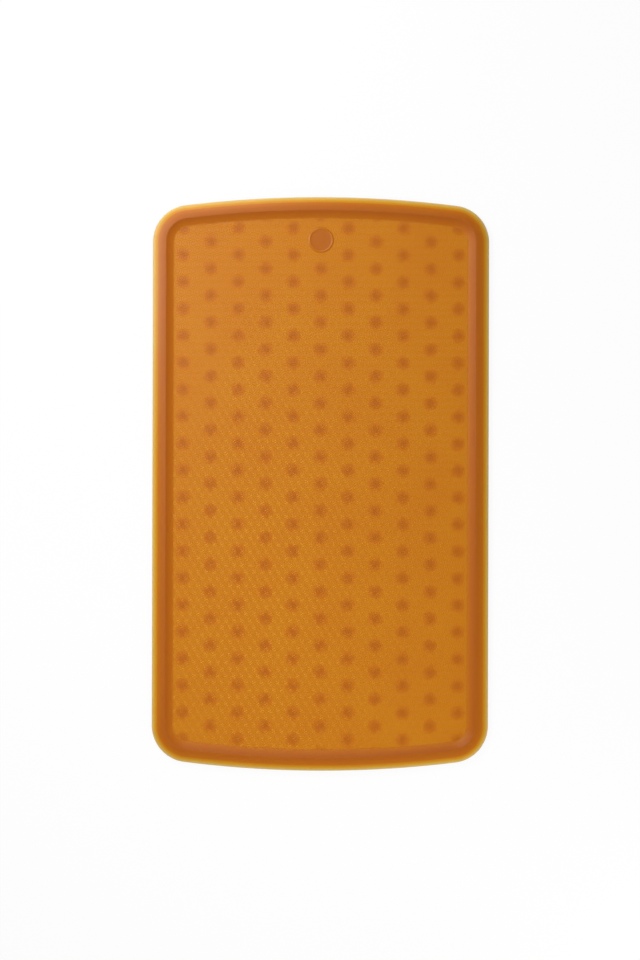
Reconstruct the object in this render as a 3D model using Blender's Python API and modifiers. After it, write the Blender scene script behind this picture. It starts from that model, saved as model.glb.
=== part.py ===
"""A one-piece rubber bath mat with suction cups, modelled in its functional regions.

Metres, +Z up. The cups' lips stand on z = 0, the mat's length runs along Y, and the
medallion is near the +Y end. The origin is under the middle of the mat.
"""

from math import atan2, cos, floor, pi, sin, sqrt

import bmesh
import bpy
from mathutils import Vector

# Outline of the mat, seen from above
MAT_LENGTH = 0.580
MAT_WIDTH = 0.340
END_BOW_RADIUS = 1.107
CORNER_RADIUS = 0.0375
CORNER_STEPS = 7
END_STEPS = 12

# The sheet is a grip layer over a backing that carries the cups
GRIP_THICKNESS = 0.0013
BACKING_THICKNESS = 0.0009
SEAT_GAP = 0.0003

# Raised rim: a thin outer edge, a rounded rise to the crest, and a slope down to the sheet
RIM_WIDTH = 0.0210
RIM_CREST_INSET = 0.0138
RIM_HEIGHT = 0.0065
RIM_EDGE_THICKNESS = 0.0012
RIM_FOOT_WIDTH = 0.0080
RIM_STEPS = 5

# Round boss near one end, seated in a hole through the grip layer
MEDALLION_DIAMETER = 0.026
MEDALLION_RISE = 0.0010
MEDALLION_TO_END = 0.0436
MEDALLION_EDGE = 0.0004
MEDALLION_STEPS = 32

# Suction cups, in columns whose rows are staggered by half a pitch
CUP_HEIGHT = 0.0065
CUP_DIAMETER = 0.021
SKIRT_HEIGHT = 0.0043
STEM_DIAMETER = 0.0095
HOLLOW_DEPTH = 0.0028
LIP_WIDTH = 0.0012
CUP_SIDES = 7
COLUMN_PITCH = 0.0278
ROW_PITCH = 0.0272
CUP_TO_EDGE = 0.030

# Levels above the floor, worked out from the sizes above
UNDERSIDE = CUP_HEIGHT
BACKING_TOP = UNDERSIDE + BACKING_THICKNESS
GRIP_BOTTOM = BACKING_TOP + SEAT_GAP
GRIP_TOP = GRIP_BOTTOM + GRIP_THICKNESS

# Linear colours of amber rubber: thicker rubber is redder and darker
SHEET_COLOUR = (0.578, 0.195, 0.021)
RIM_COLOUR = (0.527, 0.159, 0.024)
MEDALLION_COLOUR = (0.462, 0.133, 0.018)
CUP_COLOUR = (0.602, 0.223, 0.033)
SATIN = 0.45
SMOOTH = 0.35


def clear_scene():
    """Remove whatever the open file holds."""
    for item in list(bpy.data.objects):
        bpy.data.objects.remove(item, do_unlink=True)


def new_collection(name):
    """A collection linked to the scene."""
    collection = bpy.data.collections.new(name)
    bpy.context.scene.collection.children.link(collection)
    return collection


def rubber(name, colour, roughness):
    """A Principled material for one region of the mat."""
    material = bpy.data.materials.new(name)
    material.use_nodes = True
    shader = material.node_tree.nodes["Principled BSDF"]
    shader.inputs["Base Color"].default_value = (*colour, 1.0)
    shader.inputs["Roughness"].default_value = roughness
    shader.inputs["Metallic"].default_value = 0.0
    return material


def arc(centre, radius, start, end, steps):
    """Points along an arc, both ends included."""
    turns = [start + (end - start) * step / steps for step in range(steps + 1)]
    return [(centre[0] + radius * cos(a), centre[1] + radius * sin(a)) for a in turns]


def outline(inset):
    """The mat's outline drawn in by inset, anticlockwise from the right side.

    The long sides are straight, the ends bow out, and a corner arc is tangent to both.
    """
    half_width = MAT_WIDTH / 2 - inset
    bow = END_BOW_RADIUS - inset
    corner = CORNER_RADIUS - inset
    bow_centre = MAT_LENGTH / 2 - END_BOW_RADIUS
    corner_x = half_width - corner
    rise = sqrt((bow - corner) ** 2 - corner_x**2)
    corner_y = bow_centre + rise
    lean = atan2(rise, corner_x)
    points = arc((corner_x, corner_y), corner, 0.0, lean, CORNER_STEPS)
    points += arc((0.0, bow_centre), bow, lean, pi - lean, END_STEPS)[1:-1]
    points += arc((-corner_x, corner_y), corner, pi - lean, pi, CORNER_STEPS)
    return points + [(-x, -y) for x, y in points]


def curve_object(name, loops, collection):
    """A curve object of closed straight-sided splines in the XY plane."""
    data = bpy.data.curves.new(name, "CURVE")
    for loop in loops:
        spline = data.splines.new("POLY")
        spline.points.add(len(loop) - 1)
        for point, (x, y) in zip(spline.points, loop):
            point.co = (x, y, 0.0, 1.0)
        spline.use_cyclic_u = True
    item = bpy.data.objects.new(name, data)
    collection.objects.link(item)
    return item


def as_mesh(source, merge):
    """Replace a curve object by a mesh object of the same name and place."""
    bpy.context.view_layer.update()
    graph = bpy.context.evaluated_depsgraph_get()
    mesh = bpy.data.meshes.new_from_object(source.evaluated_get(graph))
    shape = bmesh.new()
    shape.from_mesh(mesh)
    bmesh.ops.remove_doubles(shape, verts=shape.verts, dist=merge)
    bmesh.ops.recalc_face_normals(shape, faces=shape.faces)
    shape.to_mesh(mesh)
    shape.free()
    name, place = source.name, source.matrix_world.copy()
    collection = source.users_collection[0]
    bpy.data.objects.remove(source, do_unlink=True)
    item = bpy.data.objects.new(name, mesh)
    item.matrix_world = place
    collection.objects.link(item)
    return item


def flat_solid(name, loops, low, high, collection):
    """A plate between two levels, from an outline and any holes in it."""
    plate = curve_object(name, loops, collection)
    plate.data.dimensions = "2D"
    plate.data.fill_mode = "BOTH"
    plate.data.extrude = (high - low) / 2
    plate.location.z = (low + high) / 2
    return as_mesh(plate, SEAT_GAP / 10)


def turned(name, profile, steps, collection):
    """A solid of revolution about Z, from (radius, height) points listed top to bottom."""
    mesh = bpy.data.meshes.new(name)
    points = [Vector((radius, 0.0, height)) for radius, height in profile]
    mesh.from_pydata(points, [(i, i + 1) for i in range(len(points) - 1)], [])
    item = bpy.data.objects.new(name, mesh)
    collection.objects.link(item)
    screw = item.modifiers.new("turn", "SCREW")
    screw.steps = steps
    screw.render_steps = steps
    screw.use_merge_vertices = True
    screw.merge_threshold = SEAT_GAP / 10
    return item


def hide_guide(item):
    """Mark a cutter or guide, which is no piece of the mat."""
    item.hide_render = True
    item.display_type = "WIRE"


def finish(item, material, parent):
    """Give a piece its material, smooth shading and parent."""
    item.data.materials.clear()
    item.data.materials.append(material)
    item.data.shade_smooth()
    item.data.set_sharp_from_angle(angle=pi / 6)
    item.parent = parent


def rim_profile():
    """The rim's section: (distance inward from the edge, height), round the section."""
    lift = RIM_HEIGHT - RIM_EDGE_THICKNESS
    shares = [step / RIM_STEPS for step in range(RIM_STEPS + 1)]
    rise = [
        (RIM_CREST_INSET * share, UNDERSIDE + RIM_EDGE_THICKNESS + lift * sin(pi / 2 * share))
        for share in shares
    ]
    inner = [(RIM_WIDTH, GRIP_TOP), (RIM_WIDTH, GRIP_BOTTOM)]
    rebate = [(RIM_FOOT_WIDTH, GRIP_BOTTOM), (RIM_FOOT_WIDTH, UNDERSIDE)]
    return [(0.0, UNDERSIDE)] + rise + inner + rebate


def make_rim(parts, cutters):
    """The raised border, its section swept round the mat's outline."""
    section = curve_object("rim_section", [[(-u, z) for u, z in rim_profile()]], cutters)
    section.data.dimensions = "2D"
    section.data.fill_mode = "NONE"
    hide_guide(section)
    rim = curve_object("rim", [outline(0.0)], parts)
    rim.data.dimensions = "3D"
    rim.data.twist_mode = "Z_UP"
    rim.data.bevel_mode = "OBJECT"
    rim.data.bevel_object = section
    return as_mesh(rim, SEAT_GAP / 10)


def circle(centre, radius, steps):
    """Points round a circle."""
    return arc(centre, radius, 0.0, 2 * pi * (steps - 1) / steps, steps - 1)


def medallion_centre():
    """Where the medallion's axis stands, on the mat's centre line."""
    return (0.0, MAT_LENGTH / 2 - MEDALLION_TO_END)


def make_grip_sheet(parts):
    """The sheet that is stood on, inside the rim, with the medallion's hole."""
    hole = circle(medallion_centre(), MEDALLION_DIAMETER / 2 + SEAT_GAP, MEDALLION_STEPS)
    loops = [outline(RIM_WIDTH + SEAT_GAP), hole]
    return flat_solid("grip_sheet", loops, GRIP_BOTTOM, GRIP_TOP, parts)


def make_medallion(parts):
    """The round boss, standing a little proud of the sheet, with a softened edge."""
    radius = MEDALLION_DIAMETER / 2
    top = GRIP_TOP + MEDALLION_RISE
    profile = [
        (0.0, top),
        (radius - MEDALLION_EDGE, top),
        (radius, top - MEDALLION_EDGE),
        (radius, GRIP_BOTTOM),
        (0.0, GRIP_BOTTOM),
    ]
    medallion = turned("medallion", profile, MEDALLION_STEPS, parts)
    medallion.location.xy = medallion_centre()
    return medallion


def cup_profile():
    """A cup's section: stem, skirt, flat lip and hollow. The stem's top is in the backing."""
    stem = STEM_DIAMETER / 2
    lip = CUP_DIAMETER / 2
    root = UNDERSIDE + BACKING_THICKNESS / 2
    return [
        (0.0, root),
        (stem, root),
        (stem, SKIRT_HEIGHT),
        (lip, 0.0),
        (lip - LIP_WIDTH, 0.0),
        (0.0, HOLLOW_DEPTH),
    ]


def column_places():
    """Each column's number from the middle one and its count of cups."""
    reach = floor((MAT_WIDTH / 2 - CUP_TO_EDGE) / COLUMN_PITCH)
    rows = (MAT_LENGTH / 2 - CUP_TO_EDGE) / ROW_PITCH
    in_line = 2 * floor(rows) + 1
    staggered = 2 * floor(rows + 0.5)
    return [(j, staggered if j % 2 else in_line) for j in range(-reach, reach + 1)]


def slice_box(name, number, last, cutters):
    """A box round one column's share of the backing; an outer column's runs past the edge."""
    half = COLUMN_PITCH / 2 - SEAT_GAP / 2
    middle = number * COLUMN_PITCH
    low = -MAT_WIDTH if number == -last else middle - half
    high = MAT_WIDTH if number == last else middle + half
    shape = bmesh.new()
    bmesh.ops.create_cube(shape, size=1.0)
    bmesh.ops.scale(shape, vec=(high - low, 2 * MAT_LENGTH, CUP_HEIGHT), verts=shape.verts)
    mesh = bpy.data.meshes.new(name)
    shape.to_mesh(mesh)
    shape.free()
    box = bpy.data.objects.new(name, mesh)
    box.location = ((low + high) / 2, 0.0, UNDERSIDE)
    cutters.objects.link(box)
    hide_guide(box)
    return box


def cup_row(name, number, count, cutters):
    """One column's cups: a turned cup repeated along the mat."""
    cups = turned(name, cup_profile(), CUP_SIDES, cutters)
    cups.location = (number * COLUMN_PITCH, -(count - 1) * ROW_PITCH / 2, 0.0)
    repeat = cups.modifiers.new("column", "ARRAY")
    repeat.count = count
    repeat.use_relative_offset = False
    repeat.use_constant_offset = True
    repeat.constant_offset_displace = (0.0, ROW_PITCH, 0.0)
    hide_guide(cups)
    return cups


def add_boolean(item, operation, operand):
    """A Boolean modifier with the exact solver."""
    boolean = item.modifiers.new(operation.lower(), "BOOLEAN")
    boolean.operation = operation
    boolean.solver = "EXACT"
    boolean.object = operand


def make_cup_columns(parts, cutters):
    """The backing in strips, one under each column, each fused with its cups."""
    edge = outline(RIM_FOOT_WIDTH + SEAT_GAP)
    places = column_places()
    last = places[-1][0]
    columns = []
    for order, (number, count) in enumerate(places, start=1):
        name = f"cup_column_{order:02d}"
        strip = flat_solid(name, [edge], UNDERSIDE, BACKING_TOP, parts)
        add_boolean(strip, "INTERSECT", slice_box(f"{name}_slice", number, last, cutters))
        add_boolean(strip, "UNION", cup_row(f"{name}_cups", number, count, cutters))
        columns.append(strip)
    return columns


def main():
    clear_scene()
    parts = new_collection("suction_bath_mat")
    cutters = new_collection("cutters")
    cup_bed = bpy.data.objects.new("cup_bed", None)
    pressed_sheet = bpy.data.objects.new("pressed_sheet", None)
    for empty in (cup_bed, pressed_sheet):
        parts.objects.link(empty)
    pressed_sheet.parent = cup_bed
    finish(make_grip_sheet(parts), rubber("sheet_rubber", SHEET_COLOUR, SATIN), pressed_sheet)
    finish(make_rim(parts, cutters), rubber("rim_rubber", RIM_COLOUR, SMOOTH), pressed_sheet)
    finish(
        make_medallion(parts),
        rubber("medallion_rubber", MEDALLION_COLOUR, SMOOTH),
        pressed_sheet,
    )
    for column in make_cup_columns(parts, cutters):
        finish(column, rubber(f"{column.name}_rubber", CUP_COLOUR, SMOOTH), cup_bed)


main()
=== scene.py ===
"""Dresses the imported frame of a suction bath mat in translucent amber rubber."""

from math import atan2, cos, pi, radians, sin, sqrt

import bpy
import numpy as np
from mathutils import Matrix, Vector


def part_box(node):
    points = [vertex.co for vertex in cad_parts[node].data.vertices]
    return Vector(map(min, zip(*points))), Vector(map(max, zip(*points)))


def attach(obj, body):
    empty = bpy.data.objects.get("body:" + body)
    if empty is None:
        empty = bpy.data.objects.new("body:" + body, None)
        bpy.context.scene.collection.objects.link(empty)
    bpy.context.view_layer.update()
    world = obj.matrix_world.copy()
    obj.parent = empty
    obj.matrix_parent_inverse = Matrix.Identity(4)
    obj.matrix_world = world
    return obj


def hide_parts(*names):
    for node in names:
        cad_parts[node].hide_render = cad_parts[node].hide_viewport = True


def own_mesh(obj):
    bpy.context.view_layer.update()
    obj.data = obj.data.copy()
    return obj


bl_info = {
    "name": "Suction Bath Mat",
    "version": (1, 0, 0),
    "blender": (4, 5, 0),
    "location": "View3D > Sidebar > Bath Mat",
    "description": "Builds the rubber surfaces of a suction bath mat round its packed frame",
    "category": "Add Mesh",
}

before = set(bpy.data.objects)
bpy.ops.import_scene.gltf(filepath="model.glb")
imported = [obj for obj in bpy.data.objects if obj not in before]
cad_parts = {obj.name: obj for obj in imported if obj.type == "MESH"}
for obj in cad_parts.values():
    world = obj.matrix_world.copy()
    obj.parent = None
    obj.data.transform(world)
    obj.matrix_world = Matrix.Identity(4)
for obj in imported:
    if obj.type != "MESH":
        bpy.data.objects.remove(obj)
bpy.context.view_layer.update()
RIM_LOW, RIM_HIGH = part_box("rim")
SHEET_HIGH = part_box("grip_sheet")[1]
BOSS_LOW, BOSS_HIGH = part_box("medallion")
BOSS_CENTRE = (BOSS_LOW + BOSS_HIGH) / 2
BOSS_DIAMETER = BOSS_HIGH.x - BOSS_LOW.x
COLUMNS = sorted(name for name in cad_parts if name.startswith("cup_column_"))

MM = 1000.0
# Names of two mesh attributes, and of a flat map laid over the ribs.
DEPTH = "rubber_depth"
RIB_MIDDLE = "rib_middle"
BAKE_MAP = "OFBake"

WHITE = (1.0, 1.0, 1.0)

# How deep the rubber looks, in mm, where each of its colours is reached. The glow colour is painted light:
# the white floor's light coming up through the rim's thin edge.
COLOUR_DEPTHS = {"glow": 0.4, "thin": 1.0, "light": 2.0, "sheet": 2.6, "stem": 4.8, "deep": 6.6}
DEEPEST = 8.0
# How much deeper the sheet looks over the middle of a stem, in mm.
STEM_DEPTH = 2.2
# How deep the rim looks, by distance in from its edge, in mm. Light gets in under the thin edge: these
# depths are less than the rim's real ones, most of all near the edge, so the outer rise is painted lighter
# and yellower, painted light that stands for the floor shining through.
RIM_LOOK_WITH_PAINTED_GLOW = (
    (0.0, 0.5),
    (1.5, 1.0),
    (2.5, 1.5),
    (3.5, 2.0),
    (5.5, 2.35),
    (7.6, 3.45),
    (10.0, 4.4),
    (12.5, 4.9),
    (14.5, 5.6),
    (17.0, 5.1),
    (19.2, 3.8),
    (21.0, 2.9),
    (22.0, 2.5),
)
# The same for the boss from its face over the lip to its foot, and for a cup from its axis to its lip. The
# boss's darker face is its own colour; its foot is set deeper than its rubber is there, which is painted
# shade round the boss's foot.
BOSS_LOOK_WITH_PAINTED_FOOT_SHADE = (4.9, 3.3, 3.0, 4.2)
CUP_LOOK = (5.6, 5.2, 2.2, 0.8)

# Scale, detail and swing of the noise that makes the rubber uneven.
STEM_EDGE = (260.0, 2.0, 0.005)
CLOUDS = (14.0, 3.0, 0.2)
GRAIN = (700.0, 2.0, 0.2)
WEAR = (60.0, 4.0, 0.10)
# The fine bumps of the skin, and how far light soaks in by red, green and blue.
SKIN_SCALE, SKIN_DETAIL = 2200.0, 2.0
SKIN_STRENGTH, SKIN_HEIGHT = 0.12, 0.0001
SOAK_RADIUS, SOAK_SCALE = (1.0, 0.45, 0.15), 0.003

# The angle from which an arris stays sharp.
SHARP, RIB_SHARP, CUP_SHARP = radians(40), radians(15), radians(50)

# Lamps in the order they are hung. Some light the mat without a gleam, some only gleam on its rim.
LAMPS = ("key", "fill", "rear", "corner", "strip", "far")
NO_GLEAM = ("fill", "rear", "corner")
ONLY_GLEAM = ("strip", "far")


def length(name, description, default):
    """A length that a user may change, in metres."""
    return bpy.props.FloatProperty(
        name=name, description=description, default=default, unit="LENGTH", precision=5
    )


def share(name, description, default):
    """A number from 0 to 1."""
    return bpy.props.FloatProperty(
        name=name, description=description, default=default, min=0.0, max=1.0, subtype="FACTOR"
    )


def colour(name, description, default):
    """A linear colour."""
    return bpy.props.FloatVectorProperty(
        name=name, description=description, default=default, size=3, min=0.0, max=1.0, subtype="COLOR"
    )


def power(name, description, default):
    """A lamp's power, in watts."""
    return bpy.props.FloatProperty(name=name, description=description, default=default, unit="POWER")


def position(name, description, default):
    """Where a lamp is, in metres."""
    return bpy.props.FloatVectorProperty(
        name=name, description=description, default=default, size=3, subtype="XYZ"
    )


def count(name, description, default):
    """A number of steps round or along a shape."""
    return bpy.props.IntProperty(name=name, description=description, default=default, min=3)


class MatOutline(bpy.types.PropertyGroup):
    """The mat's outline, the rim's section and the levels between floor and crest."""

    mat_width: length("Width", "Overall width of the mat", RIM_HIGH.x - RIM_LOW.x)
    mat_length: length("Length", "Overall length of the mat", RIM_HIGH.y - RIM_LOW.y)
    bow_radius: length("End bow", "Radius of the outward bow of each end", 1.107)
    corner_radius: length("Corner", "Radius of the outer corners", 0.0375)
    underside: length("Underside", "Height of the sheet's underside", RIM_LOW.z)
    sheet_top: length("Sheet top", "Height of the face that is stood on", SHEET_HIGH.z)
    crest: length("Crest", "Height of the rim's crest", RIM_HIGH.z)
    rim_width: length("Rim width", "From the outer edge to the foot of the inner slope", 0.0210)
    crest_inset: length("Crest inset", "From the outer edge to the crest", 0.0138)
    edge_thickness: length("Edge", "Thickness of the rim's outer edge", 0.0012)
    edge_round: length("Edge round", "Radius of the outer edge's two arrises", 0.0005)
    crest_round: length("Crest round", "Half-width of the rounding over the crest", 0.0006)
    foot_round: length("Foot round", "Half-width of the fillet at the slope's foot", 0.0010)
    corner_steps: count("Corner steps", "Segments in each corner arc", 28)
    end_steps: count("End steps", "Segments along each bowed end", 48)
    rise_steps: count("Rise steps", "Segments from the outer edge up to the crest", 18)
    edge_steps: count("Edge steps", "Segments in each rounding of the outer edge", 3)
    crest_steps: count("Crest steps", "Segments in the rounding over the crest", 6)
    foot_steps: count("Foot steps", "Segments in the fillet at the slope's foot", 5)


class GripPattern(bpy.types.PropertyGroup):
    """Raised ribs in three directions, hatching the rhombs of a tumbling-block tiling."""

    cell: length("Cell", "Distance between like rhombs", 0.00808)
    rib_width: length("Rib width", "Width of a rib at its foot", 0.00130)
    rib_height: length("Rib height", "Height of a rib above the sheet", 0.00017)
    rib_gap: length("Rib gap", "Clear length left between the ends of ribs", 0.00015)
    seat: length("Seat", "How far a rib's foot is sunk in the sheet", 0.00003)
    tuck: length("Tuck", "How far the pattern runs under the rim's slope", 0.0010)


class BossForm(bpy.types.PropertyGroup):
    """The round boss: a sunk face inside a raised lip."""

    diameter: length("Diameter", "Diameter at the boss's foot", BOSS_DIAMETER)
    top: length("Top", "Height of the lip", BOSS_HIGH.z)
    sunk: length("Sunk face", "How far the face lies below the lip", 0.0005)
    slope: length("Slope", "Width of the lip's inner slope", 0.0011)
    lip: length("Lip", "Width of the lip's flat top", 0.0004)
    wall: length("Wall", "How far the outer wall leans out to its foot", 0.0012)
    foot: length("Foot", "How far the wall's foot is sunk in the sheet", 0.0001)
    edge_round: length("Edge round", "Size of the rounding along the lip's edges", 0.00015)
    turns: count("Turns", "Segments round the boss", 96)
    face_rings: count("Face rings", "Rings of points on the face", 4)
    edge_steps: count("Edge steps", "Segments in each rounding of the lip", 3)


class CupForm(bpy.types.PropertyGroup):
    """One suction cup and the spacing of the field."""

    column_pitch: length("Column pitch", "Distance between columns of cups", 0.0278)
    row_pitch: length("Row pitch", "Distance between cups in a column", 0.0272)
    edge_margin: length("Edge margin", "Least distance from a cup's axis to the mat's end", 0.030)
    diameter: length("Diameter", "Diameter over the lip", 0.021)
    stem: length("Stem", "Diameter of the stem", 0.0095)
    skirt: length("Skirt", "Height of the skirt's shoulder", 0.0043)
    skirt_round: length("Skirt round", "Size of the rounding at the skirt's shoulder", 0.0006)
    skirt_start: share("Skirt start", "Share of the skirt that is left to that rounding", 0.15)
    hollow: length("Hollow", "Height of the hollow's roof", 0.0028)
    lip: length("Lip", "Width of the flat sealing lip", 0.0012)
    lip_height: length("Lip height", "Height of the lip's outer edge", 0.0004)
    lip_chamfer: length("Lip chamfer", "How far the lip's outer edge is cut back at the floor", 0.0002)
    flare: length("Flare", "Size of the fillet where the stem meets the sheet", 0.0008)
    seat: length("Seat", "How far a stem's top is sunk in the sheet", 0.0001)
    skirt_bow: bpy.props.FloatProperty(
        name="Skirt bow", description="How much the skirt bulges; 1 is a straight cone", default=1.6
    )
    turns: count("Turns", "Segments round a cup", 24)
    rings: count("Rings", "Rings of points on the skirt and in the hollow", 6)
    flare_steps: count("Flare steps", "Segments in the fillet under the sheet", 4)
    skirt_steps: count("Skirt steps", "Segments in the rounding at the shoulder", 3)


class RubberFinish(bpy.types.PropertyGroup):
    """Amber rubber: its colour by depth, its satin surface and its cloudiness."""

    # Edge glow is painted light: the floor's light through the rim's thin edge, painted into its colour.
    glow: colour("Edge glow", "Rubber thin enough to glow", (0.70, 0.53, 0.270))
    thin: colour("Thin", "Rubber that looks one millimetre deep", (0.70, 0.46, 0.105))
    light: colour("Light", "Rubber that looks two millimetres deep", (0.670, 0.325, 0.0070))
    sheet: colour("Sheet", "Rubber as deep as the sheet", (0.574, 0.170, 0.0038))
    stem: colour("Over a stem", "Sheet with a stem under it", (0.476, 0.126, 0.0032))
    deep: colour("Deep", "The deepest rubber", (0.405, 0.096, 0.0030))
    stem_core: length("Stem core", "Radius of the full dark spot over a stem", 0.0010)
    stem_fade: length("Stem fade", "Radius where the spot over a stem has faded", 0.0082)
    shine: share("Shine", "Specular level of sheet, boss and cups", 0.28)
    satin: share("Satin", "Roughness of the sheet", 0.46)
    smooth: share("Smooth", "Roughness of boss and cups", 0.36)
    glint: colour("Glint", "Tint of the gloss of the slanting grip ribs", (1.0, 0.60, 0.16))
    gleam: share("Gleam", "Specular level of the slanting grip ribs", 0.36)
    polish: share("Polish", "Roughness of the slanting grip ribs", 0.29)
    veil: colour("Veil", "Tint of the gloss of the lengthwise grip ribs", (1.0, 0.93, 0.80))
    dull: share("Dull", "Specular level of the lengthwise grip ribs", 0.18)
    rough: share("Rough", "Roughness of the lengthwise grip ribs", 0.54)
    rim_shine: share("Rim shine", "Specular level of the rim", 0.24)
    worn: share("Worn", "Roughness of the rim", 0.49)
    soak: share("Soak", "Share of the light that soaks into the rim", 0.5)


class StudioSetup(bpy.types.PropertyGroup):
    """Where the mat lies in the picture, and the light on it."""

    picture_px: bpy.props.IntVectorProperty(
        name="Picture", description="Width and height of the picture", default=(640, 960), size=2
    )
    mat_width_px: bpy.props.FloatProperty(
        name="Mat width", description="Width of the mat in the picture", default=336.5, subtype="PIXEL"
    )
    mat_centre_px: bpy.props.FloatVectorProperty(
        name="Mat centre", description="Centre of the mat in the picture", default=(320.45, 483.9), size=2
    )
    camera_height: length("Camera height", "Height of the camera over the floor", 2.4)
    camera_roll: bpy.props.FloatProperty(
        name="Camera roll", description="Turn of the camera on its axis", default=0.0026, subtype="ANGLE"
    )
    sensor: bpy.props.FloatProperty(
        name="Sensor", description="Long side of the sensor in mm", default=36.0
    )
    floor: colour("Floor", "Colour of the white floor", (0.93, 0.93, 0.93))
    floor_glow: share("Floor glow", "Share of the floor that is plain white to the eye", 0.92)
    floor_reach: length("Floor reach", "From the middle of the floor to its sides", 8.0)
    floor_drop: length("Floor drop", "How far the floor lies below the cups", 0.0003)
    dome: share("Dome", "Strength of the light from all round", 0.385)
    dome_mirrored: share("Dome mirrored", "Share of that light that shows in reflections", 0.15)
    key_power: power("Key", "Power of the long softbox over the mat's left side", 5.9)
    key_place: position("Key place", "Where that softbox hangs", (-0.40, 0.36, 0.90))
    key_width: length("Key width", "Width of that softbox", 0.22)
    key_length: length("Key length", "Length of that softbox", 0.62)
    fill_power: power("Fill", "Power of the lamp over the near end", 0.58)
    fill_place: position("Fill place", "Where that lamp stands", (0.0, -0.33, 0.40))
    fill_width: length("Fill width", "Width of that lamp", 0.50)
    fill_length: length("Fill length", "Length of that lamp", 0.50)
    rear_power: power("Rear", "Power of the low lamp beyond the far end", 1.0)
    rear_place: position("Rear place", "Where that lamp stands", (-0.20, 0.75, 0.15))
    rear_width: length("Rear width", "Width of that lamp", 0.30)
    rear_length: length("Rear length", "Length of that lamp", 0.30)
    corner_power: power("Corner", "Power of the low lamp off the near right corner", 0.45)
    corner_place: position("Corner place", "Where that lamp stands", (0.40, -0.55, 0.15))
    corner_width: length("Corner width", "Width of that lamp", 0.25)
    corner_length: length("Corner length", "Length of that lamp", 0.25)
    strip_power: power("Strip", "Power of the low strip that gleams on the left rim", 1.45)
    strip_place: position("Strip place", "Where that strip stands", (-0.40, 0.32, 0.16))
    strip_width: length("Strip width", "Width of that strip", 0.12)
    strip_length: length("Strip length", "Length of that strip", 0.35)
    far_power: power("Far strip", "Power of the low strip that gleams on the far rim", 0.58)
    far_place: position("Far strip place", "Where that strip stands", (-0.16, 0.53, 0.17))
    far_width: length("Far strip width", "Width of that strip", 0.22)
    far_length: length("Far strip length", "Length of that strip", 0.12)


def corner_arc(shape, inset):
    """Radii of a corner and of an end's bow, drawn in by inset, and the centres of both."""
    corner, bow = shape.corner_radius - inset, shape.bow_radius - inset
    bow_centre = shape.mat_length / 2 - shape.bow_radius
    corner_x = shape.mat_width / 2 - shape.corner_radius
    corner_y = bow_centre + sqrt((bow - corner) ** 2 - corner_x**2)
    return corner, bow, bow_centre, corner_x, corner_y


def outline(shape, inset):
    """The mat's outline drawn in by inset, anticlockwise, as rows of x and y.

    The sides are straight, the ends bow out, and a corner arc is tangent to both.
    """
    corner, bow, bow_centre, corner_x, corner_y = corner_arc(shape, inset)
    lean = atan2(corner_y - bow_centre, corner_x)
    turn = np.linspace(0.0, lean, shape.corner_steps + 1)
    end_turn = np.linspace(lean, pi - lean, shape.end_steps + 1)[1:-1]
    first = np.stack([corner_x + corner * np.cos(turn), corner_y + corner * np.sin(turn)], 1)
    end = np.stack([bow * np.cos(end_turn), bow_centre + bow * np.sin(end_turn)], 1)
    second = first[::-1] * (-1.0, 1.0)
    half = np.concatenate([first, end, second])
    return np.concatenate([half, -half])


def inside(shape, points, inset):
    """Which of the points lie inside the outline drawn in by inset."""
    corner, bow, bow_centre, corner_x, corner_y = corner_arc(shape, inset)
    x, y = np.abs(points[:, 0]), np.abs(points[:, 1])
    kept = (x < corner_x + corner) & (np.hypot(x, y - bow_centre) < bow)
    in_corner = (x > corner_x) & (y > corner_y)
    return kept & (~in_corner | (np.hypot(x - corner_x, y - corner_y) < corner))


def new_piece(name, points, faces, material, sharp=SHARP):
    """A mesh object in the scene, shaded smooth except over sharp arrises."""
    mesh = bpy.data.meshes.new(name)
    mesh.from_pydata(np.asarray(points, float).tolist(), [], [list(face) for face in faces])
    mesh.validate()
    mesh.shade_smooth()
    mesh.set_sharp_from_angle(angle=sharp)
    mesh.materials.append(material)
    piece = bpy.data.objects.new(name, mesh)
    bpy.context.scene.collection.objects.link(piece)
    return piece


def set_depth(piece, depths):
    """Store how deep the rubber looks under each point, in millimetres. On the rim this carries painted
    light at the thin edge, and on the boss painted shade at its foot.
    """
    layer = piece.data.attributes.new(DEPTH, "FLOAT", "POINT")
    layer.data.foreach_set("value", np.asarray(depths, np.float32))


def grid_faces(rows, columns, closed_rows):
    """Quads between neighbouring rings of points; the rings are closed."""
    faces = []
    for row in range(rows if closed_rows else rows - 1):
        here, there = row * columns, (row + 1) % rows * columns
        for step in range(columns):
            after = (step + 1) % columns
            faces.append((here + step, here + after, there + after, there + step))
    return faces


def rounded(before, corner, after, reach, steps):
    """Points of a smooth turn that starts and ends within reach of a corner."""
    before, corner, after = (np.asarray(point, float) for point in (before, corner, after))
    start = corner + (before - corner) * min(1.0, reach / np.linalg.norm(before - corner))
    end = corner + (after - corner) * min(1.0, reach / np.linalg.norm(after - corner))
    shares = np.linspace(0.0, 1.0, steps + 1)[:, None]
    return list((1 - shares) ** 2 * start + 2 * shares * (1 - shares) * corner + shares**2 * end)


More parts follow.
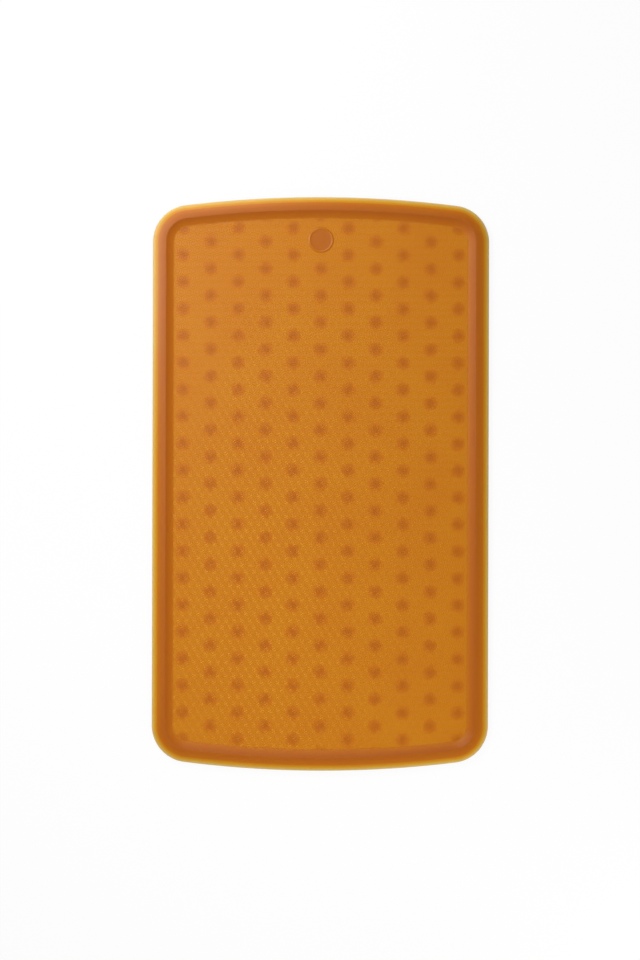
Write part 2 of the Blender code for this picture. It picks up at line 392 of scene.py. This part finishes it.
def turned(profile, steps):
    """Points and faces of a solid of revolution about Z, whose profile starts and ends on Z.

    The profile runs down the outside, so that the faces point out.
    """
    ring = np.asarray(profile[1:-1], float)
    turn = np.arange(steps) * 2 * pi / steps
    points = np.empty((len(ring), steps, 3))
    points[:, :, 0] = ring[:, :1] * np.cos(turn)
    points[:, :, 1] = ring[:, :1] * np.sin(turn)
    points[:, :, 2] = ring[:, 1:]
    points = points.reshape(-1, 3)
    top, bottom = len(points), len(points) + 1
    points = np.concatenate([points, [(0.0, 0.0, profile[0][1]), (0.0, 0.0, profile[-1][1])]])
    faces = [face[::-1] for face in grid_faces(len(ring), steps, False)]
    last = (len(ring) - 1) * steps
    for step in range(steps):
        after = (step + 1) % steps
        faces.append((top, step, after))
        faces.append((bottom, last + after, last + step))
    return points, faces


def node(tree, kind, **settings):
    """A shader node with some of its properties set."""
    made = tree.nodes.new(kind)
    for name, value in settings.items():
        setattr(made, name, value)
    return made


def feed(tree, socket, value):
    """Link a socket to another node's output, or set it to a plain value."""
    if isinstance(value, bpy.types.NodeSocket):
        tree.links.new(value, socket)
    else:
        socket.default_value = value


def reckon(tree, operation, *values):
    """The output of a Math node."""
    made = node(tree, "ShaderNodeMath", operation=operation)
    for socket, value in zip(made.inputs, values):
        feed(tree, socket, value)
    return made.outputs[0]


def noise(tree, place, scale, detail):
    """A noise value from 0 to 1 that follows the mat's own coordinates."""
    made = node(tree, "ShaderNodeTexNoise")
    tree.links.new(place, made.inputs["Vector"])
    made.inputs["Scale"].default_value = scale
    made.inputs["Detail"].default_value = detail
    return made.outputs["Fac"]


def wander(tree, place, scale, detail, swing, middle=0.0):
    """A value that strays from its middle by up to half of swing."""
    return reckon(tree, "MULTIPLY_ADD", noise(tree, place, scale, detail), swing, middle - swing / 2)


def stem_spots(tree, place, cups, finish):
    """How much of a stem shows through the sheet: 1 over its middle, fading to 0."""
    split = node(tree, "ShaderNodeSeparateXYZ")
    tree.links.new(place, split.inputs[0])
    column, half_row = cups.column_pitch, cups.row_pitch / 2
    distances = []
    for across, along in ((0.0, 0.0), (column, half_row)):
        x = reckon(tree, "WRAP", reckon(tree, "SUBTRACT", split.outputs[0], across), column, -column)
        y = reckon(tree, "WRAP", reckon(tree, "SUBTRACT", split.outputs[1], along), half_row, -half_row)
        squared = reckon(tree, "ADD", reckon(tree, "MULTIPLY", x, x), reckon(tree, "MULTIPLY", y, y))
        distances.append(reckon(tree, "SQRT", squared))
    uneven = wander(tree, place, *STEM_EDGE)
    fade = node(tree, "ShaderNodeMapRange", interpolation_type="SMOOTHSTEP")
    feed(tree, fade.inputs["Value"], reckon(tree, "ADD", reckon(tree, "MINIMUM", *distances), uneven))
    fade.inputs["From Min"].default_value = finish.stem_fade
    fade.inputs["From Max"].default_value = finish.stem_core
    return fade.outputs[0]


def depth_colour(tree, depth, finish):
    """Amber by depth in millimetres: thin rubber is yellow, deep rubber reddish brown."""
    ramp = node(tree, "ShaderNodeValToRGB")
    feed(tree, ramp.inputs[0], reckon(tree, "DIVIDE", depth, DEEPEST))
    elements = ramp.color_ramp.elements
    while len(elements) < len(COLOUR_DEPTHS):
        elements.new(1.0)
    for element, (name, millimetres) in zip(elements, COLOUR_DEPTHS.items()):
        element.position = millimetres / DEEPEST
        element.color = (*getattr(finish, name), 1.0)
    return ramp.outputs[0]


def rubber(context, name, roughness, level, tint=WHITE, soak=0.0, flat=False, through=None):
    """Satin amber rubber. Its depth is read from the mesh, or from the stems under the flat sheet.

    The stems are seen at each point itself, or at the point that the attribute through gives.
    """
    shape, finish = context.scene.mat_outline, context.scene.rubber_finish
    material = bpy.data.materials.new(name)
    material.use_nodes = True
    tree = material.node_tree
    shader = tree.nodes["Principled BSDF"]
    place = node(tree, "ShaderNodeTexCoord").outputs["Object"]
    if flat:
        below = place
        if through:
            below = node(tree, "ShaderNodeAttribute", attribute_name=through).outputs["Vector"]
        spots = stem_spots(tree, below, context.scene.cup_form, finish)
        sheet_mm = (shape.sheet_top - shape.underside) * MM
        depth = reckon(tree, "MULTIPLY_ADD", spots, STEM_DEPTH, sheet_mm)
    else:
        # On the rim and the boss this depth carries painted light and painted shade.
        depth = node(tree, "ShaderNodeAttribute", attribute_name=DEPTH).outputs["Fac"]
    uneven = reckon(tree, "ADD", wander(tree, place, *CLOUDS), wander(tree, place, *GRAIN))
    depth = reckon(tree, "ADD", depth, uneven)
    feed(tree, shader.inputs["Base Color"], depth_colour(tree, depth, finish))
    feed(tree, shader.inputs["Roughness"], wander(tree, place, *WEAR, roughness))
    shader.inputs["Specular IOR Level"].default_value = level
    shader.inputs["Specular Tint"].default_value = (*tint, 1.0)
    shader.inputs["Subsurface Weight"].default_value = soak
    shader.inputs["Subsurface Radius"].default_value = SOAK_RADIUS
    shader.inputs["Subsurface Scale"].default_value = SOAK_SCALE
    bump = node(tree, "ShaderNodeBump")
    bump.inputs["Strength"].default_value = SKIN_STRENGTH
    bump.inputs["Distance"].default_value = SKIN_HEIGHT
    feed(tree, bump.inputs["Height"], noise(tree, place, SKIN_SCALE, SKIN_DETAIL))
    feed(tree, shader.inputs["Normal"], bump.outputs[0])
    return material


def rim_section(shape):
    """The rim's section as (inset, height) points: edge, rise, crest, slope, foot and underside."""
    low, top = shape.underside, shape.sheet_top
    edge = low + shape.edge_thickness
    lift = shape.crest - edge
    shares = np.linspace(0.0, 1.0, shape.rise_steps + 1)
    rise = np.stack([shape.crest_inset * shares, edge + lift * np.sin(shares * pi / 2)], 1)
    crest = tuple(rise[-1])
    foot = (shape.rim_width, top)
    field = shape.rim_width + shape.foot_round
    section = rounded((shape.rim_width, low), (0.0, low), (0.0, edge), shape.edge_round, shape.edge_steps)
    section += rounded((0.0, low), (0.0, edge), rise[1], shape.edge_round, shape.edge_steps)
    section += list(rise[2:-2])
    section += rounded(rise[-3], crest, foot, shape.crest_round, shape.crest_steps)
    section += rounded(crest, foot, (field, top), shape.foot_round, shape.foot_steps)
    section += [(field, low)]
    return np.array(section)


class MAT_OT_add_rim(bpy.types.Operator):
    """Sweep the raised rim round the mat's outline"""

    bl_idname = "bath_mat.add_rim"
    bl_label = "Add Rim"

    def execute(self, context):
        shape, finish = context.scene.mat_outline, context.scene.rubber_finish
        section = rim_section(shape)
        rings = [outline(shape, inset) for inset, height in section]
        points = [(x, y, height) for ring, (inset, height) in zip(rings, section) for x, y in ring]
        around = len(rings[0])
        material = rubber(context, "amber_rim", finish.worn, finish.rim_shine, soak=finish.soak)
        rim = new_piece("rim_border", points, grid_faces(len(section), around, True), material)
        # Painted light on the rim: lighter and yellower towards its thin outer edge.
        depths = np.interp(section[:, 0] * MM, *np.transpose(RIM_LOOK_WITH_PAINTED_GLOW))
        set_depth(rim, np.repeat(depths, around))
        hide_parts("rim")
        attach(rim, "mat")
        return {"FINISHED"}


class MAT_OT_add_sheet(bpy.types.Operator):
    """Lay the flat sheet inside the rim"""

    bl_idname = "bath_mat.add_sheet"
    bl_label = "Add Sheet"

    def execute(self, context):
        shape, finish = context.scene.mat_outline, context.scene.rubber_finish
        ring = outline(shape, shape.rim_width + shape.foot_round)
        around = len(ring)
        points = [(x, y, z) for z in (shape.underside, shape.sheet_top) for x, y in ring]
        faces = grid_faces(2, around, False)
        faces.append(range(around, 2 * around))
        faces.append(range(around - 1, -1, -1))
        material = rubber(context, "amber_sheet", finish.satin, finish.shine, flat=True)
        sheet = new_piece("standing_sheet", points, faces, material)
        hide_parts("grip_sheet")
        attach(sheet, "mat")
        return {"FINISHED"}


class MAT_OT_add_grip_ribs(bpy.types.Operator):
    """Raise the grip ribs on the sheet, one piece for each of their three directions"""

    bl_idname = "bath_mat.add_grip_ribs"
    bl_label = "Add Grip Ribs"

    def execute(self, context):
        finish = context.scene.rubber_finish
        over_stems = {"flat": True, "through": RIB_MIDDLE}
        slanting = rubber(
            context, "amber_ribs", finish.polish, finish.gleam, finish.glint, **over_stems
        )
        lengthwise = rubber(
            context, "amber_ribs_matte", finish.rough, finish.dull, finish.veil, **over_stems
        )
        for angle, material in ((30, slanting), (150, slanting), (270, lengthwise)):
            ribs = self.hatch(context, radians(angle), material)
            ribs.name = f"grip_ribs_{angle % 180:03d}"
            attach(ribs, "mat")
        return {"FINISHED"}

    def hatch(self, context, turn, material):
        """All the ribs that run in one direction: a long one and two short ones in each rhomb."""
        shape, grip = context.scene.mat_outline, context.scene.grip_pattern
        side = grip.cell / sqrt(3)
        ahead, aside = np.array((cos(turn), sin(turn))), np.array((-sin(turn), cos(turn)))
        cells = self.cell_centres(shape, grip.cell) + ahead * side / 2
        foot = shape.sheet_top - grip.seat
        crown = shape.sheet_top + grip.rib_height
        within = shape.rim_width - grip.tuck
        groups = []
        for offset, reach in ((0.0, side), (grip.cell / 4, side / 2), (-grip.cell / 4, side / 2)):
            half = (reach - grip.rib_gap) / 2
            middles = cells + aside * offset
            from_boss = np.hypot(*(middles - np.array(BOSS_CENTRE.xy)).T)
            kept = from_boss >= BOSS_DIAMETER / 2 - half
            kept &= inside(shape, middles + ahead * half, within)
            kept &= inside(shape, middles - ahead * half, within)
            ridge = half - grip.rib_width / 2
            foot_marks = ((-half, -1), (half, -1), (half, 1), (-half, 1))
            corners = [(a, b * grip.rib_width / 2, foot) for a, b in foot_marks]
            corners += [(a, 0.0, crown) for a in (-ridge, ridge)]
            level = np.ones((kept.sum(), 1))
            marks = [np.hstack([middles[kept] + ahead * a + aside * b, level * z]) for a, b, z in corners]
            groups.append(np.stack(marks, 1))
        ribs = np.concatenate(groups)
        corner_count = ribs.shape[1]
        rib_faces = ((0, 1, 5, 4), (2, 3, 4, 5), (1, 2, 5), (3, 0, 4), (3, 2, 1, 0))
        faces = [
            [start + corner for corner in face]
            for start in range(0, len(ribs) * corner_count, corner_count)
            for face in rib_faces
        ]
        piece = new_piece("grip_ribs", ribs.reshape(-1, 3), faces, material, RIB_SHARP)
        self.lay_flat_map(piece, shape)
        middles = np.repeat(ribs.mean(1), corner_count, 0)
        layer = piece.data.attributes.new(RIB_MIDDLE, "FLOAT_VECTOR", "POINT")
        layer.data.foreach_set("vector", middles.astype(np.float32).ravel())
        return piece

    def cell_centres(self, shape, cell):
        """A hexagonal lattice over the mat, with neighbours along its width."""
        rows = int(shape.mat_length / cell) + 2
        columns = int(shape.mat_width / cell) + 2
        i, j = np.meshgrid(np.arange(-columns, columns + 1), np.arange(-rows, rows + 1))
        x = (i + (j % 2) / 2) * cell
        y = j * cell * sqrt(3) / 2
        centres = np.stack([x.ravel(), y.ravel()], 1)
        return centres[inside(shape, centres, shape.rim_width / 2)]

    def lay_flat_map(self, ribs, shape):
        """A map seen from above, so that the ribs' colours follow the sheet's."""
        mesh = ribs.data
        places = np.empty(len(mesh.vertices) * 3)
        mesh.vertices.foreach_get("co", places)
        corners = np.empty(len(mesh.loops), int)
        mesh.loops.foreach_get("vertex_index", corners)
        flat = places.reshape(-1, 3)[corners, :2] / (shape.mat_width, shape.mat_length) + 0.5
        layer = mesh.uv_layers.new(name=BAKE_MAP)
        layer.uv.foreach_set("vector", flat.astype(np.float32).ravel())


class MAT_OT_add_boss(bpy.types.Operator):
    """Turn the plain round boss near one end"""

    bl_idname = "bath_mat.add_boss"
    bl_label = "Add Boss"

    def execute(self, context):
        form, finish = context.scene.boss_form, context.scene.rubber_finish
        outer, top = form.diameter / 2, form.top
        face, low = top - form.sunk, context.scene.mat_outline.sheet_top - form.foot
        crown = outer - form.wall
        slope_top = crown - form.lip
        slope_foot = slope_top - form.slope
        path = [(0.0, face), (slope_foot, face), (slope_top, top), (crown, top), (outer, low)]
        profile = [(slope_foot * ring / form.face_rings, face) for ring in range(form.face_rings)]
        for before, corner, after in zip(path, path[1:], path[2:]):
            profile += rounded(before, corner, after, form.edge_round, form.edge_steps)
        profile += [(outer, low), (0.0, low)]
        points, faces = turned(profile, form.turns)
        material = rubber(context, "amber_boss", finish.smooth, finish.shine)
        place = np.array((BOSS_CENTRE.x, BOSS_CENTRE.y, 0.0))
        boss = new_piece("round_boss", points + place, faces, material)
        reach = np.hypot(points[:, 0], points[:, 1])
        # Darker towards the boss's foot: painted shade round its wall.
        set_depth(boss, np.interp(reach, (slope_foot, slope_top, crown, outer), BOSS_LOOK_WITH_PAINTED_FOOT_SHADE))
        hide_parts("medallion")
        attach(boss, "mat")
        return {"FINISHED"}


class MAT_OT_add_cups(bpy.types.Operator):
    """Turn the suction cups, one piece for each column"""

    bl_idname = "bath_mat.add_cups"
    bl_label = "Add Cups"

    def execute(self, context):
        shape, cups = context.scene.mat_outline, context.scene.cup_form
        finish = context.scene.rubber_finish
        profile, depths = self.profile(shape, cups)
        points, faces = turned(profile, cups.turns)
        ring_depths = np.repeat(depths[1:-1], cups.turns)
        cup_depths = np.concatenate([ring_depths, depths[:1], depths[-1:]])
        material = rubber(context, "amber_cups", finish.smooth, finish.shine)
        middle = len(COLUMNS) // 2
        for order, name in enumerate(COLUMNS):
            number = order - middle
            places = [(number * cups.column_pitch, y, 0.0) for y in self.rows(shape, cups, number)]
            field = np.concatenate([points + np.array(place) for place in places])
            field_faces = [
                [corner + start * len(points) for corner in face]
                for start in range(len(places))
                for face in faces
            ]
            column = new_piece(f"cups_{order + 1:02d}", field, field_faces, material, CUP_SHARP)
            set_depth(column, np.tile(cup_depths, len(places)))
            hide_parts(name)
            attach(column, "cups")
            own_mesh(column)
        return {"FINISHED"}

    def rows(self, shape, cups, number):
        """Where the cups of a column stand; odd columns are staggered by half a pitch."""
        room = (shape.mat_length / 2 - cups.edge_margin) / cups.row_pitch
        total = 2 * int(room + 0.5) if number % 2 else 2 * int(room) + 1
        return (np.arange(total) - (total - 1) / 2) * cups.row_pitch

    def profile(self, shape, cups):
        """A cup's profile from the stem's top down to the lip and up into the hollow, with depths."""
        stem, lip, low = cups.stem / 2, cups.diameter / 2, shape.underside
        shoulder, inner = cups.skirt, lip - cups.lip
        flared, top = stem + cups.flare, low + cups.seat
        edge = (lip, cups.lip_height)
        shares = np.linspace(cups.skirt_start, 1.0, cups.rings)
        heights = shoulder * (1 - shares**cups.skirt_bow) + cups.lip_height * shares
        profile = [(0.0, top), (flared, top)]
        profile += rounded((flared, low), (stem, low), (stem, shoulder), cups.flare, cups.flare_steps)
        profile += rounded((stem, low), (stem, shoulder), edge, cups.skirt_round, cups.skirt_steps)
        profile += list(np.stack([stem + (lip - stem) * shares, heights], 1))
        profile += [(lip - cups.lip_chamfer, 0.0), (inner, 0.0)]
        turns = shares[:-1] * pi / 2
        profile += [(inner * cos(turn), cups.hollow * sin(turn)) for turn in turns]
        profile += [(0.0, cups.hollow)]
        radii = np.array([radius for radius, height in profile])
        return profile, np.interp(radii, (0.0, stem, flared, lip), CUP_LOOK)


class MAT_OT_set_stage(bpy.types.Operator):
    """Set the white floor, the soft light and the camera straight above the mat"""

    bl_idname = "bath_mat.set_stage"
    bl_label = "Set Stage"

    def execute(self, context):
        studio = context.scene.studio_setup
        self.lay_floor(studio)
        self.light_world(context, studio)
        mat_end = context.scene.mat_outline.mat_length / 2
        aims = {"strip": (0.0, studio.strip_place[1], 0.0), "far": (studio.far_place[0], mat_end, 0.0)}
        for lamp in LAMPS:
            softbox = self.hang_lamp(context, studio, lamp, aims.get(lamp, (0.0, 0.0, 0.0)))
            softbox.visible_glossy = lamp not in NO_GLEAM
            softbox.visible_diffuse = lamp not in ONLY_GLEAM
        self.place_camera(context, studio)
        context.scene.view_settings.view_transform = "Standard"
        return {"FINISHED"}

    def seen(self, tree):
        """1 for rays that show the white ground to the eye, straight on or in a reflection."""
        path = node(tree, "ShaderNodeLightPath")
        either = reckon(tree, "MAXIMUM", path.outputs["Is Camera Ray"], path.outputs["Is Glossy Ray"])
        return reckon(tree, "MAXIMUM", either, path.outputs["Is Transmission Ray"])

    def lay_floor(self, studio):
        """A white floor that keeps the mat's shadow and is nearly plain white to the eye."""
        reach, level = studio.floor_reach, -studio.floor_drop
        signs = ((-1, -1), (1, -1), (1, 1), (-1, 1))
        corners = [(x * reach, y * reach, level) for x, y in signs]
        material = bpy.data.materials.new("white_floor")
        material.use_nodes = True
        tree = material.node_tree
        shader = tree.nodes["Principled BSDF"]
        shader.inputs["Base Color"].default_value = (*studio.floor, 1.0)
        shader.inputs["Roughness"].default_value = 1.0
        shader.inputs["Specular IOR Level"].default_value = 0.0
        glow = node(tree, "ShaderNodeEmission")
        blend = node(tree, "ShaderNodeMixShader")
        feed(tree, blend.inputs[0], reckon(tree, "MULTIPLY", self.seen(tree), studio.floor_glow))
        tree.links.new(shader.outputs[0], blend.inputs[1])
        tree.links.new(glow.outputs[0], blend.inputs[2])
        tree.links.new(blend.outputs[0], tree.nodes["Material Output"].inputs["Surface"])
        new_piece("floor", corners, [(0, 1, 2, 3)], material)

    def light_world(self, context, studio):
        """A white dome that is dimmer in reflections and plain white to the eye."""
        world = bpy.data.worlds.new("soft_dome")
        world.use_nodes = True
        context.scene.world = world
        tree = world.node_tree
        ground = tree.nodes["Background"]
        ground.inputs["Color"].default_value = (*WHITE, 1.0)
        path = node(tree, "ShaderNodeLightPath")
        hidden = studio.dome * (studio.dome_mirrored - 1.0)
        dome = reckon(tree, "MULTIPLY_ADD", path.outputs["Is Glossy Ray"], hidden, studio.dome)
        feed(tree, ground.inputs["Strength"], reckon(tree, "MAXIMUM", path.outputs["Is Camera Ray"], dome))

    def hang_lamp(self, context, studio, lamp, aim):
        """A soft lamp that faces its aim, with its length along the mat's."""
        name = f"{lamp}_softbox"
        place = Vector(getattr(studio, f"{lamp}_place"))
        light = bpy.data.lights.new(name, "AREA")
        light.energy = getattr(studio, f"{lamp}_power")
        light.shape = "RECTANGLE"
        light.size = getattr(studio, f"{lamp}_width")
        light.size_y = getattr(studio, f"{lamp}_length")
        softbox = bpy.data.objects.new(name, light)
        back = (place - Vector(aim)).normalized()
        along = (Vector((0.0, 1.0, 0.0)) - back * back.y).normalized()
        softbox.matrix_world = Matrix((along.cross(back), along, back)).transposed().to_4x4()
        softbox.location = place
        context.scene.collection.objects.link(softbox)
        return softbox

    def place_camera(self, context, studio):
        """A camera over the mat, with the lens that gives the mat its width in the picture."""
        shape = context.scene.mat_outline
        metres_per_px = shape.mat_width / studio.mat_width_px
        width_px, height_px = studio.picture_px
        data = bpy.data.cameras.new("overhead")
        data.sensor_width = studio.sensor
        distance = studio.camera_height - shape.sheet_top
        data.lens = studio.sensor * distance / (height_px * metres_per_px)
        camera = bpy.data.objects.new("overhead", data)
        across = (width_px / 2 - studio.mat_centre_px[0]) * metres_per_px
        along = (studio.mat_centre_px[1] - height_px / 2) * metres_per_px
        camera.location = (across, along, studio.camera_height)
        camera.rotation_euler.z = studio.camera_roll
        context.scene.collection.objects.link(camera)
        context.scene.camera = camera


class MAT_PT_builder(bpy.types.Panel):
    """Sizes, finish and light of the bath mat, with a button for each piece"""

    bl_idname = "MAT_PT_builder"
    bl_label = "Bath Mat"
    bl_space_type = "VIEW_3D"
    bl_region_type = "UI"
    bl_category = "Bath Mat"

    def draw(self, context):
        for name in GROUPS:
            box = self.layout.box()
            group = getattr(context.scene, name)
            for item in group.bl_rna.properties:
                if item.identifier not in ("name", "rna_type"):
                    box.prop(group, item.identifier)
        for operator in OPERATORS:
            self.layout.operator(operator.bl_idname)


GROUPS = {
    "mat_outline": MatOutline,
    "grip_pattern": GripPattern,
    "boss_form": BossForm,
    "cup_form": CupForm,
    "rubber_finish": RubberFinish,
    "studio_setup": StudioSetup,
}
OPERATORS = (
    MAT_OT_add_sheet,
    MAT_OT_add_grip_ribs,
    MAT_OT_add_rim,
    MAT_OT_add_boss,
    MAT_OT_add_cups,
    MAT_OT_set_stage,
)


def register():
    for name, group in GROUPS.items():
        bpy.utils.register_class(group)
        setattr(bpy.types.Scene, name, bpy.props.PointerProperty(type=group))
    for item in (*OPERATORS, MAT_PT_builder):
        bpy.utils.register_class(item)


def unregister():
    for item in reversed((*OPERATORS, MAT_PT_builder)):
        bpy.utils.unregister_class(item)
    for name, group in reversed(GROUPS.items()):
        delattr(bpy.types.Scene, name)
        bpy.utils.unregister_class(group)


def main():
    register()
    bpy.ops.bath_mat.add_sheet()
    bpy.ops.bath_mat.add_grip_ribs()
    bpy.ops.bath_mat.add_rim()
    bpy.ops.bath_mat.add_boss()
    bpy.ops.bath_mat.add_cups()
    bpy.ops.bath_mat.set_stage()


if __name__ == "__main__":
    main()
